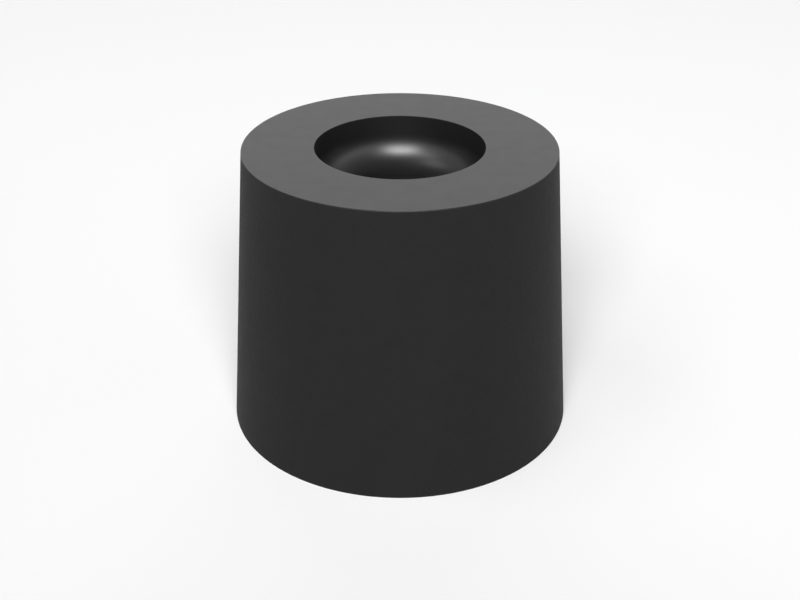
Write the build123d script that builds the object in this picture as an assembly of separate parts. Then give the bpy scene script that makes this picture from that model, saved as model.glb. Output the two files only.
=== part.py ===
from build123d import *
import os

# Moulded rubber buffer: one solid of revolution about Z, in millimetres.
# The origin is the centre of the wide base, which is the face it is fixed by.
# The side tapers to the narrow end, which takes the blow. A round recess
# there leaves a ring of rubber that meets the load first and gives softly.

# Outer form, measured to the corners before they are rounded
BASE_DIAMETER = 40.0
FACE_DIAMETER = 35.1
HEIGHT = 33.2

# Round recess in the narrow end
RECESS_DIAMETER = 19.0
RECESS_DEPTH = 6.0
RECESS_FLOOR_RADIUS = 3.8

# Edge radii: the mould's corners leave very little on both rims of the ring.
# The base edge is sharp, because the mould opens there and is trimmed flush.
RIM_RADIUS = 0.05
BASE_EDGE_RADIUS = 0


def half_section():
    """Half of the section through the axis, in the XZ plane, closed along the axis."""
    floor_height = HEIGHT - RECESS_DEPTH
    base_corner = (BASE_DIAMETER / 2, 0)
    face_corner = (FACE_DIAMETER / 2, HEIGHT)
    mouth_corner = (RECESS_DIAMETER / 2, HEIGHT)
    floor_corner = (RECESS_DIAMETER / 2, floor_height)
    with BuildSketch(Plane.XZ) as section:
        with BuildLine():
            outline = FilletPolyline(
                (0, 0),
                base_corner,
                face_corner,
                mouth_corner,
                floor_corner,
                (0, floor_height),
                radius=[BASE_EDGE_RADIUS, RIM_RADIUS, RIM_RADIUS, RECESS_FLOOR_RADIUS],
            )
            Line(outline @ 1, outline @ 0)
        make_face()
    return section.sketch


def rubber_buffer():
    """The whole buffer, its half section turned once round the axis."""
    body = revolve(half_section(), axis=Axis.Z, revolution_arc=360)
    body.label = "rubber_buffer"
    return body


os.makedirs("parts", exist_ok=True)
export_step(rubber_buffer(), "parts/rubber_buffer.step")
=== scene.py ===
"""Dresses the moulded rubber buffer and stands it in a plain studio.

Lengths are metres unless a name or comment says otherwise. The base of the
buffer lies on the floor at z = 0, its axis is Z, and the camera is on -Y.
"""
import logging
import math
from dataclasses import dataclass, field
from enum import Enum
from typing import Any, Mapping, Sequence, Union

import bpy
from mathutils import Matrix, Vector


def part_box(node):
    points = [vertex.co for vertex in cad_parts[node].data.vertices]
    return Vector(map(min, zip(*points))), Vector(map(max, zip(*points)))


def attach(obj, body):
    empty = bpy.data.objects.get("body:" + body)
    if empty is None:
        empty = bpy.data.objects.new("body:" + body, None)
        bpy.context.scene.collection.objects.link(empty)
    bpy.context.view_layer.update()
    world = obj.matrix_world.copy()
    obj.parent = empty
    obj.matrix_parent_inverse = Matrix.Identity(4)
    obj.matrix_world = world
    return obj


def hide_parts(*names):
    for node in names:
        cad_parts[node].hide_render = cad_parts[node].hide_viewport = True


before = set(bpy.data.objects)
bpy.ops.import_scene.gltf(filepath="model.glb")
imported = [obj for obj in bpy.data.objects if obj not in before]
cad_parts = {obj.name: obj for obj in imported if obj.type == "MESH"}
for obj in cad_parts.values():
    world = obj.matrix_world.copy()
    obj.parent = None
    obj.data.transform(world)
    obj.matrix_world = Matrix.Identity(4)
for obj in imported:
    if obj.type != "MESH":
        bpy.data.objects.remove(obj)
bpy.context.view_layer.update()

NODE = "rubber_buffer"
MM = 0.001
LOG = logging.getLogger("buffer")


class Number:
    """A socket that carries one number. Python's operators on it add Math nodes."""

    def __init__(self, canvas: "Canvas", socket: bpy.types.NodeSocket) -> None:
        """Wraps a socket of the canvas's tree."""
        self.canvas = canvas
        self.socket = socket

    def _math(self, operation: str, first: "Term", second: "Term") -> "Number":
        """Adds one Math node.

        Args:
            operation: the Math node's operation.
            first: what goes into its first socket.
            second: what goes into its second socket.

        Returns:
            The node's result.
        """
        return self.canvas.number("ShaderNodeMath", {"operation": operation}, {0: first, 1: second})

    def __add__(self, other: "Term") -> "Number":
        """Adds other to this number."""
        return self._math("ADD", self, other)

    def __radd__(self, other: "Term") -> "Number":
        """Adds this number to other."""
        return self._math("ADD", other, self)

    def __sub__(self, other: "Term") -> "Number":
        """Takes other from this number."""
        return self._math("SUBTRACT", self, other)

    def __rsub__(self, other: "Term") -> "Number":
        """Takes this number from other."""
        return self._math("SUBTRACT", other, self)

    def __mul__(self, other: "Term") -> "Number":
        """Multiplies this number by other."""
        return self._math("MULTIPLY", self, other)

    def __rmul__(self, other: "Term") -> "Number":
        """Multiplies other by this number."""
        return self._math("MULTIPLY", other, self)

    def __truediv__(self, other: "Term") -> "Number":
        """Divides this number by other."""
        return self._math("DIVIDE", self, other)

    def __rtruediv__(self, other: "Term") -> "Number":
        """Divides other by this number."""
        return self._math("DIVIDE", other, self)

    def __pow__(self, other: "Term") -> "Number":
        """Raises this number to the power of other."""
        return self._math("POWER", self, other)

    def __rpow__(self, other: "Term") -> "Number":
        """Raises other to the power of this number."""
        return self._math("POWER", other, self)

    def at_most(self, other: "Term") -> "Number":
        """The smaller of this number and other."""
        return self._math("MINIMUM", self, other)

    def at_least(self, other: "Term") -> "Number":
        """The larger of this number and other."""
        return self._math("MAXIMUM", self, other)

    def ramp(self, start: float, end: float) -> "Number":
        """Eases from 0 to 1 while this number goes from start to end.

        Args:
            start: where it is 0.
            end: where it is 1, which may be above or below start.

        Returns:
            The eased number.
        """
        return self.canvas.number(
            "ShaderNodeMapRange",
            {"interpolation_type": "SMOOTHSTEP"},
            {"Value": self, "From Min": start, "From Max": end, "To Min": 0.0, "To Max": 1.0},
        )


Term = Union[Number, float, int]


class Canvas:
    """A shader or geometry node tree, with the one method that adds nodes to it."""

    def __init__(self, tree: bpy.types.NodeTree) -> None:
        """Takes the tree and empties it."""
        self.tree = tree
        tree.nodes.clear()

    def node(
        self,
        kind: str,
        settings: Mapping[str, Any] | None = None,
        inputs: Mapping[str | int, Any] | None = None,
    ) -> bpy.types.Node:
        """Adds a node.

        Args:
            kind: the node's type.
            settings: its properties, set first. "items" is how many an Index Switch holds.
            inputs: a value, a socket or a Number for each socket, named by identifier, name or place.

        Returns:
            The new node.
        """
        node = self.tree.nodes.new(kind)
        for name, value in (settings or {}).items():
            if name == "items":
                while len(node.index_switch_items) < value:
                    node.index_switch_items.new()
            else:
                setattr(node, name, value)
        for key, value in (inputs or {}).items():
            socket = self._input(node, key)
            if isinstance(value, Number):
                self.tree.links.new(value.socket, socket)
            elif isinstance(value, bpy.types.NodeSocket):
                self.tree.links.new(value, socket)
            else:
                socket.default_value = value
        return node

    def number(self, kind: str, settings: Mapping[str, Any], inputs: Mapping[str | int, Any]) -> Number:
        """Adds a node as node() does, and wraps its first output that is in use."""
        made = self.node(kind, settings, inputs)
        return Number(self, next(s for s in made.outputs if s.enabled))

    @staticmethod
    def _input(node: bpy.types.Node, key: str | int) -> bpy.types.NodeSocket:
        """Finds an input.

        Args:
            node: the node that has it.
            key: its place, its identifier, or its name among the sockets in use.

        Returns:
            The socket.
        """
        if isinstance(key, int):
            return node.inputs[key]
        same = [s for s in node.inputs if s.identifier == key]
        return (same or [s for s in node.inputs if s.name == key and s.enabled])[0]


@dataclass(frozen=True)
class MouldedRubber:
    """Black rubber as it leaves a steel mould, with sizes in millimetres.

    The cavity that forms the flank is blasted, so the flank has a fine dull grain.
    The faces that form the ring and the recess are turned and polished. The core
    scuffs the recess's straight wall as it is drawn out, and the ring is wiped clean.
    Below the wall the recess keeps the thin wax film that the rubber sweats out. There the colour is also
    painted darker, as painted shade in the recess.
    """

    face_radius: float
    mouth_radius: float
    height: float
    wall_depth: float
    name: str = "black_moulded_rubber"

    # Rubber and its bloom, the faint cloudiness of its surface
    colour: float = 0.004
    refraction: float = 1.4
    bloom: float = 0.22
    bloom_patch: float = 6.0
    bloom_detail: float = 3.0

    # Where one zone fades into the next: above the base, round the mouth and below the ring
    base_fades_from: float = 0.5
    base_fades_to: float = 1.0
    mouth_fades_over: float = 0.05
    ring_fades_from: float = 0.12
    ring_fades_to: float = 0.02

    # Roughness of each zone, and how far it drifts from patch to patch
    flank_roughness: float = 0.82
    ring_roughness: float = 0.40
    wall_roughness: float = 0.51
    recess_roughness: float = 0.38
    roughness_drift: float = 0.04
    drift_patch: float = 2.2
    drift_detail: float = 2.0

    # Wax film, which thickens over a short way below the wall, and the painted shade that darkens the
    # colour where the film lies
    film: float = 0.82
    film_fades_over: float = 1.2
    film_drift: float = 0.10
    # How much darker the colour is painted under the film, as painted shade in the recess
    painted_recess_shade: float = 0.25
    film_roughness: float = 0.34
    film_refraction: float = 1.5

    # Grain left by the mould's surface
    grain_patch: float = 0.28
    grain_detail: float = 1.0
    flank_grain_depth: float = 0.055
    smooth_grain_depth: float = 0.0012

    # Wear of the two rims
    rim_band: float = 0.35
    rim_polish: float = 0.02
    rim_pales: float = 0.4

    def material(self) -> bpy.types.Material:
        """Builds the finish.

        Returns:
            A material that reads Object coordinates.
        """
        made = bpy.data.materials.new(self.name)
        made.use_nodes = True
        canvas = Canvas(made.node_tree)
        coordinates = canvas.node("ShaderNodeTexCoord")
        place = canvas.node(
            "ShaderNodeVectorMath",
            {"operation": "SCALE"},
            {0: coordinates.outputs["Object"], "Scale": 1 / MM},
        ).outputs[0]
        parts = canvas.node("ShaderNodeSeparateXYZ", inputs={0: place})
        across = Number(canvas, parts.outputs["X"])
        along = Number(canvas, parts.outputs["Y"])
        up = Number(canvas, parts.outputs["Z"])
        radius = (across * across + along * along) ** 0.5

        above_base = up.ramp(self.base_fades_from, self.base_fades_to)
        in_mouth = radius.ramp(self.mouth_radius + self.mouth_fades_over, self.mouth_radius)
        in_recess = in_mouth * above_base
        on_ring = up.ramp(self.height - self.ring_fades_from, self.height - self.ring_fades_to)
        wall_end = self.height - self.wall_depth
        on_wall = up.ramp(wall_end - self.film_fades_over, wall_end)
        # Where the film lies, which is also where painted shade darkens the colour
        filmed_and_shaded = in_recess * (1 - on_wall)
        rim = self._near_rim(radius, up)

        bloom = self._noise(canvas, place, self.bloom_patch, self.bloom_detail)
        drift = self._noise(canvas, place, self.drift_patch, self.drift_detail)
        grain = self._noise(canvas, place, self.grain_patch, self.grain_detail)

        shade = self.colour * (1 + self._swing(bloom, self.bloom)) + rim * (self.rim_pales * self.colour)
        # Painted shade: the colour is darkened under the film, deep in the recess
        shade = shade * (1 - filmed_and_shaded * self.painted_recess_shade)
        colour = canvas.node(
            "ShaderNodeCombineColor", {"mode": "RGB"}, {"Red": shade, "Green": shade, "Blue": shade}
        )
        smooth = self.flank_roughness + on_ring * (self.ring_roughness - self.flank_roughness)
        inner = self.recess_roughness + on_wall * (self.wall_roughness - self.recess_roughness)
        rough = smooth + in_recess * (inner - smooth)
        rough = rough + self._swing(drift, self.roughness_drift) - rim * self.rim_polish
        film = filmed_and_shaded * (self.film + self._swing(drift, self.film_drift))

        polished = on_ring.at_least(in_recess)
        depth = self.flank_grain_depth + polished * (self.smooth_grain_depth - self.flank_grain_depth)
        bump = canvas.node(
            "ShaderNodeBump", inputs={"Strength": 1.0, "Distance": MM, "Height": grain * depth}
        )
        shader = canvas.node(
            "ShaderNodeBsdfPrincipled",
            inputs={
                "Base Color": colour.outputs["Color"],
                "Roughness": rough,
                "IOR": self.refraction,
                "Normal": bump.outputs["Normal"],
                "Coat Weight": film,
                "Coat Roughness": self.film_roughness,
                "Coat IOR": self.film_refraction,
            },
        )
        canvas.node("ShaderNodeOutputMaterial", inputs={"Surface": shader.outputs["BSDF"]})
        return made

    def _near_rim(self, radius: Number, up: Number) -> Number:
        """Marks what handling burnishes: the two rims of the ring.

        Args:
            radius: distance from the axis.
            up: height above the base.

        Returns:
            1 on a rim, falling to 0 across the rim band.
        """
        below = self.height - up
        outer = ((radius - self.face_radius) ** 2.0 + below * below) ** 0.5
        inner = ((radius - self.mouth_radius) ** 2.0 + below * below) ** 0.5
        return outer.at_most(inner).ramp(self.rim_band, 0.0)

    @staticmethod
    def _noise(canvas: Canvas, place: bpy.types.NodeSocket, patch: float, detail: float) -> Number:
        """Adds a noise from 0 to 1.

        Args:
            canvas: the material's tree.
            place: the point, in millimetres.
            patch: size of a patch, in millimetres.
            detail: how many finer layers it has.

        Returns:
            The noise, 0.5 on average.
        """
        return canvas.number(
            "ShaderNodeTexNoise", {}, {"Vector": place, "Scale": 1 / patch, "Detail": detail}
        )

    @staticmethod
    def _swing(noise: Number, share: float) -> Number:
        """Turns a noise from 0 to 1 into one from -share to share."""
        return (noise - 0.5) * (2 * share)


class Corner(Enum):
    """The corners of the half section, in order along its line from the middle of the base."""

    BASE = "base edge"
    FACE = "outer rim of the ring"
    MOUTH = "inner rim of the ring"
    FLOOR = "floor corner of the recess"


@dataclass
class RubberBody:
    """The moulded body, a solid of revolution.

    The base, face and mouth radii and the height are measured to the corners, before
    these are rounded. The base edge's rounding stays within its reach, which counts
    in radii. A holding point lies past each rounding by the hold, and points closer
    than the weld are made one.
    """

    base_radius: float
    height: float
    face_radius: float = 17.55 * MM
    mouth_radius: float = 9.5 * MM
    recess_depth: float = 6.0 * MM
    floor_radius: float = 3.8 * MM
    rim_radius: float = 0.05 * MM
    base_edge_radius: float = 0.02 * MM
    base_edge_reach: float = 1.2
    hold: float = 0.05 * MM
    weld: float = 0.001 * MM
    segments: int = 288
    steps: Mapping[Corner, int] = field(
        default_factory=lambda: {Corner.BASE: 3, Corner.FACE: 6, Corner.MOUTH: 6, Corner.FLOOR: 28}
    )

    @classmethod
    def from_frame(cls, node: str) -> "RubberBody":
        """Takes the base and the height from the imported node.

        Args:
            node: the node's name.

        Returns:
            The body at the largest size that stays inside the node's box.
        """
        low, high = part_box(node)
        return cls(base_radius=min(high.x, high.y, -low.x, -low.y), height=high.z)

    def finish(self) -> bpy.types.Material:
        """The rubber's material, with its zones where this body has them."""
        wall_depth = self.recess_depth - self.floor_radius
        sizes = (self.face_radius, self.mouth_radius, self.height, wall_depth)
        return MouldedRubber(*(size / MM for size in sizes)).material()

    def build(self) -> bpy.types.Object:
        """Turns the section, dresses it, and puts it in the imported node's place.

        Returns:
            The finished piece.
        """
        tree, inputs = self._tree()
        values = self._values()
        values["Material"] = self.finish()
        holder = bpy.data.objects.new("turning", bpy.data.meshes.new("turning"))
        bpy.context.scene.collection.objects.link(holder)
        modifier = holder.modifiers.new("turn", "NODES")
        modifier.node_group = tree
        for name, value in values.items():
            modifier[inputs[name]] = value
        evaluated = holder.evaluated_get(bpy.context.evaluated_depsgraph_get())
        mesh = bpy.data.meshes.new_from_object(evaluated)
        bpy.data.objects.remove(holder)
        mesh.name = "moulded_body"
        piece = bpy.data.objects.new("moulded_body", mesh)
        bpy.context.scene.collection.objects.link(piece)
        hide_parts(NODE)
        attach(piece, "root")
        return piece

    def _values(self) -> dict[str, Any]:
        """The tree's inputs and this body's value for each."""
        return {
            "Base Radius": self.base_radius,
            "Face Radius": self.face_radius,
            "Height": self.height,
            "Mouth Radius": self.mouth_radius,
            "Recess Depth": self.recess_depth,
            "Floor Radius": self.floor_radius,
            "Rim Radius": self.rim_radius,
            "Base Edge Radius": self.base_edge_radius,
            "Hold": self.hold,
            "Segments": self.segments,
        }

    def _tree(self) -> tuple[bpy.types.NodeTree, dict[str, str]]:
        """Builds the Geometry Nodes tree that draws the section and turns it.

        Returns:
            The tree, and the identifier of each input by its name.
        """
        tree = bpy.data.node_groups.new("turned_section", "GeometryNodeTree")
        canvas = Canvas(tree)
        kinds = {name: "NodeSocketFloat" for name in self._values()}
        kinds["Segments"] = "NodeSocketInt"
        kinds["Material"] = "NodeSocketMaterial"
        identifiers = {
            name: tree.interface.new_socket(name, in_out="INPUT", socket_type=kind).identifier
            for name, kind in kinds.items()
        }
        tree.interface.new_socket("Mesh", in_out="OUTPUT", socket_type="NodeSocketGeometry")
        given = canvas.node("NodeGroupInput")
        size = {name: Number(canvas, given.outputs[name]) for name in kinds}

        profile = self._profile(canvas, size)
        path = canvas.node(
            "GeometryNodeCurvePrimitiveCircle",
            {"mode": "RADIUS"},
            {"Resolution": size["Segments"], "Radius": size["Base Radius"]},
        )
        swept = canvas.node(
            "GeometryNodeCurveToMesh",
            inputs={"Curve": path.outputs["Curve"], "Profile Curve": profile, "Fill Caps": False},
        )
        closed = canvas.node(
            "GeometryNodeMergeByDistance", inputs={"Geometry": swept.outputs[0], "Distance": self.weld}
        )
        outward = canvas.node("GeometryNodeFlipFaces", inputs={"Mesh": closed.outputs[0]})
        shaded = canvas.node("GeometryNodeSetShadeSmooth", inputs={"Geometry": outward.outputs[0]})
        solid = canvas.node("GeometryNodeRealizeInstances", inputs={"Geometry": shaded.outputs[0]})
        dressed = canvas.node(
            "GeometryNodeSetMaterial", inputs={"Geometry": solid.outputs[0], "Material": size["Material"]}
        )
        canvas.node("NodeGroupOutput", inputs={"Mesh": dressed.outputs[0]})
        return tree, identifiers

    def _profile(self, canvas: Canvas, size: Mapping[str, Number]) -> bpy.types.NodeSocket:
        """Draws the half section as a rounded line.

        It runs from the middle of the base, up the flank and over the ring, to the
        middle of the recess floor. Beside each rounded corner lies a holding point,
        so that the flats next to it stay flat in the shading.

        Args:
            canvas: the tree.
            size: the tree's inputs by name.

        Returns:
            The curve. Its own origin lies on the path, which is a circle as wide as the base.
        """
        base, face, mouth = size["Base Radius"], size["Face Radius"], size["Mouth Radius"]
        top, hold, rim = size["Height"], size["Hold"], size["Rim Radius"] + size["Hold"]
        floor = top - size["Recess Depth"]
        bend = size["Floor Radius"] + hold
        lean = (base - face) / top
        foot = size["Base Edge Radius"] * self.base_edge_reach + hold
        points: list[tuple[Term, Term, Corner | None]] = [
            (0.0, 0.0, None),
            (base - foot, 0.0, None),
            (base, 0.0, Corner.BASE),
            (base - lean * foot, foot, None),
            (face + lean * rim, top - rim, None),
            (face, top, Corner.FACE),
            (face - rim, top, None),
            (mouth + rim, top, None),
            (mouth, top, Corner.MOUTH),
            (mouth, top - rim, None),
            (mouth, floor + bend, None),
            (mouth, floor, Corner.FLOOR),
            (mouth - bend, floor, None),
            (0.0, floor, None),
        ]
        roundings = {
            Corner.BASE: size["Base Edge Radius"],
            Corner.FACE: size["Rim Radius"],
            Corner.MOUTH: size["Rim Radius"],
            Corner.FLOOR: size["Floor Radius"],
        }
        places = [
            canvas.node("ShaderNodeCombineXYZ", inputs={"X": radius - base, "Y": 0.0 - height}).outputs[0]
            for radius, height, _ in points
        ]
        corners = [corner for _, _, corner in points]
        line = canvas.node("GeometryNodeMeshLine", {"mode": "OFFSET"}, {"Count": len(points)})
        placed = canvas.node(
            "GeometryNodeSetPosition",
            inputs={"Geometry": line.outputs["Mesh"], "Position": self._by_index(canvas, "VECTOR", places)},
        )
        curve = canvas.node("GeometryNodeMeshToCurve", inputs={"Mesh": placed.outputs["Geometry"]})
        rounded = canvas.node(
            "GeometryNodeFilletCurve",
            {"mode": "POLY"},
            {
                "Curve": curve.outputs["Curve"],
                "Radius": self._by_index(canvas, "FLOAT", [roundings.get(c, 0.0) for c in corners]),
                "Count": self._by_index(canvas, "INT", [self.steps.get(c, 1) for c in corners]),
            },
        )
        return rounded.outputs["Curve"]

    @staticmethod
    def _by_index(canvas: Canvas, kind: str, values: Sequence[Any]) -> bpy.types.NodeSocket:
        """Gives each point of the line its own value.

        Args:
            canvas: the tree.
            kind: the values' type, as an Index Switch names it.
            values: one for each point, in order.

        Returns:
            The value of the point in hand.
        """
        index = canvas.node("GeometryNodeInputIndex").outputs["Index"]
        items = {f"Item_{place}": value for place, value in enumerate(values)}
        switch = canvas.node(
            "GeometryNodeIndexSwitch", {"data_type": kind, "items": len(values)}, {"Index": index, **items}
        )
        return switch.outputs["Output"]


@dataclass(frozen=True)
class Softbox:
    """A square-cornered softbox that faces the buffer.

    Azimuth 0 is the camera's side and 90 is +X, in degrees. The level is how bright
    a white surface that faces the softbox is by its light alone, where 1 is white.
    """

    name: str
    azimuth: float
    elevation: float
    width: float
    height: float
    level: float
    distance: float = 3.0

    def build(self, target: Vector) -> bpy.types.Object:
        """Hangs the softbox.

        Args:
            target: the point that it faces.

        Returns:
            The lamp.
        """
        turn, lift = math.radians(self.azimuth), math.radians(self.elevation)
        away = Vector((math.cos(lift) * math.sin(turn), -math.cos(lift) * math.cos(turn), math.sin(lift)))
        light = bpy.data.lights.new(self.name, "AREA")
        light.shape = "RECTANGLE"
        light.size, light.size_y = self.width, self.height
        # A surface that faces the lamp gets its watts over pi times the distance squared,
        # and a white one gives back a pi-th of that in each direction.
        light.energy = self.level * (math.pi * self.distance) ** 2
        lamp = bpy.data.objects.new(self.name, light)
        bpy.context.scene.collection.objects.link(lamp)
        lamp.location = target + away * self.distance
        lamp.rotation_euler = (-away).to_track_quat("-Z", "Y").to_euler()
        return lamp


@dataclass
class Studio:
    """A pale floor, a white surround that dims overhead, and a few softboxes."""

    floor_colour: float = 0.90
    floor_roughness: float = 0.5
    floor_radius: float = 2.0
    floor_sides: int = 96
    floor_gap: float = 0.02 * MM
    fades_from: float = 0.35
    fades_to: float = 1.6
    fill: float = 0.02
    overhead: float = 0.22
    dims_from: float = 19.0
    dims_to: float = 68.0
    softboxes: Sequence[Softbox] = (
        Softbox("softbox_over_camera", -1.5, 35.0, 2.12, 1.06, 0.82),
        Softbox("strip_over_camera", -1.5, 45.0, 1.38, 0.64, 0.275),
        Softbox("softbox_front_left", -45.0, 45.0, 1.28, 0.96, 0.08),
        Softbox("softbox_left", -85.0, 60.0, 1.28, 0.96, 0.08),
        Softbox("softbox_right", 82.0, 23.0, 4.60, 0.64, 0.08),
        Softbox("softbox_behind", 180.0, 36.0, 2.80, 0.84, 0.21),
    )

    def build(self, target: Vector) -> None:
        """Builds the floor, the surround and the lamps.

        Args:
            target: the point that the softboxes face.
        """
        self._floor()
        self._surround()
        for softbox in self.softboxes:
            softbox.build(target)

    def _floor(self) -> bpy.types.Object:
        """Lays the floor, just clear of the buffer's base.

        Returns:
            A wide flat disc that fades into the surround far from the buffer.
        """
        mesh = bpy.data.meshes.new("floor")
        corners = range(self.floor_sides)
        turns = [2 * math.pi * corner / self.floor_sides for corner in corners]
        edge = [
            (self.floor_radius * math.cos(turn), self.floor_radius * math.sin(turn), 0.0)
            for turn in turns
        ]
        mesh.from_pydata(edge, [], [tuple(corners)])
        mesh.materials.append(self._paper())
        floor = bpy.data.objects.new("floor", mesh)
        floor.location.z = -self.floor_gap
        bpy.context.scene.collection.objects.link(floor)
        return floor

    def _paper(self) -> bpy.types.Material:
        """Builds the floor's finish.

        Returns:
            Matt pale paper that turns clear far from the buffer.
        """
        made = bpy.data.materials.new("pale_paper")
        made.use_nodes = True
        canvas = Canvas(made.node_tree)
        coordinates = canvas.node("ShaderNodeTexCoord").outputs["Object"]
        far = canvas.number("ShaderNodeVectorMath", {"operation": "LENGTH"}, {0: coordinates})
        paper = canvas.node(
            "ShaderNodeBsdfDiffuse",
            inputs={"Color": (self.floor_colour,) * 3 + (1.0,), "Roughness": self.floor_roughness},
        )
        faded = canvas.node(
            "ShaderNodeMixShader",
            inputs={
                0: far.ramp(self.fades_from, self.fades_to),
                1: paper.outputs[0],
                2: canvas.node("ShaderNodeBsdfTransparent").outputs[0],
            },
        )
        canvas.node("ShaderNodeOutputMaterial", inputs={"Surface": faded.outputs[0]})
        return made

    def _surround(self) -> None:
        """Makes the world: white to look at, dimmer overhead, and only a weak even fill as light."""
        world = bpy.data.worlds.new("surround")
        world.use_nodes = True
        canvas = Canvas(world.node_tree)
        ray = canvas.node("ShaderNodeLightPath")
        seen = Number(canvas, ray.outputs["Is Camera Ray"])
        seen = seen.at_least(Number(canvas, ray.outputs["Is Glossy Ray"]))
        seen = seen.at_least(Number(canvas, ray.outputs["Is Transmission Ray"]))
        direction = canvas.node("ShaderNodeTexCoord").outputs["Generated"]
        up = Number(canvas, canvas.node("ShaderNodeSeparateXYZ", inputs={0: direction}).outputs["Z"])
        low, high = (math.sin(math.radians(angle)) for angle in (self.dims_from, self.dims_to))
        look = 1 - up.ramp(low, high) * (1 - self.overhead)
        strength = self.fill + seen * (look - self.fill)
        white = canvas.node("ShaderNodeBackground", inputs={"Color": (1, 1, 1, 1), "Strength": strength})
        canvas.node("ShaderNodeOutputWorld", inputs={"Surface": white.outputs[0]})
        bpy.context.scene.world = world


@dataclass(frozen=True)
class PhotoCamera:
    """The camera at the photograph's viewing angle, which aims at a point on the buffer's axis.

    The angle is in degrees, and the lens and the sensor are in millimetres.
    """

    aim_height: float = 13.78 * MM
    distance: float = 149.2 * MM
    nearest: float = 5.0 * MM
    downward: float = 28.42
    lens: float = 56.92
    sensor: float = 36.0

    def build(self) -> bpy.types.Object:
        """Places the camera.

        Returns:
            The scene's camera.
        """
        data = bpy.data.cameras.new("camera")
        data.lens = self.lens
        data.sensor_width = self.sensor
        data.clip_start = self.nearest
        camera = bpy.data.objects.new("camera", data)
        bpy.context.scene.collection.objects.link(camera)
        tilt = math.radians(self.downward)
        back, rise = self.distance * math.cos(tilt), self.distance * math.sin(tilt)
        camera.location = (0, -back, self.aim_height + rise)
        camera.rotation_euler = (math.pi / 2 - tilt, 0, 0)
        bpy.context.scene.camera = camera
        return camera


def main() -> None:
    """Builds the buffer, the studio and the camera."""
    logging.basicConfig(level=logging.INFO, format="%(name)s: %(message)s")
    bpy.context.scene.view_settings.view_transform = "Standard"
    body = RubberBody.from_frame(NODE)
    piece = body.build()
    LOG.info("%s: %d faces", piece.name, len(piece.data.polygons))
    middle = Vector((0, 0, body.height / 2))
    Studio().build(middle)
    PhotoCamera().build()


if __name__ == "__main__":
    main()
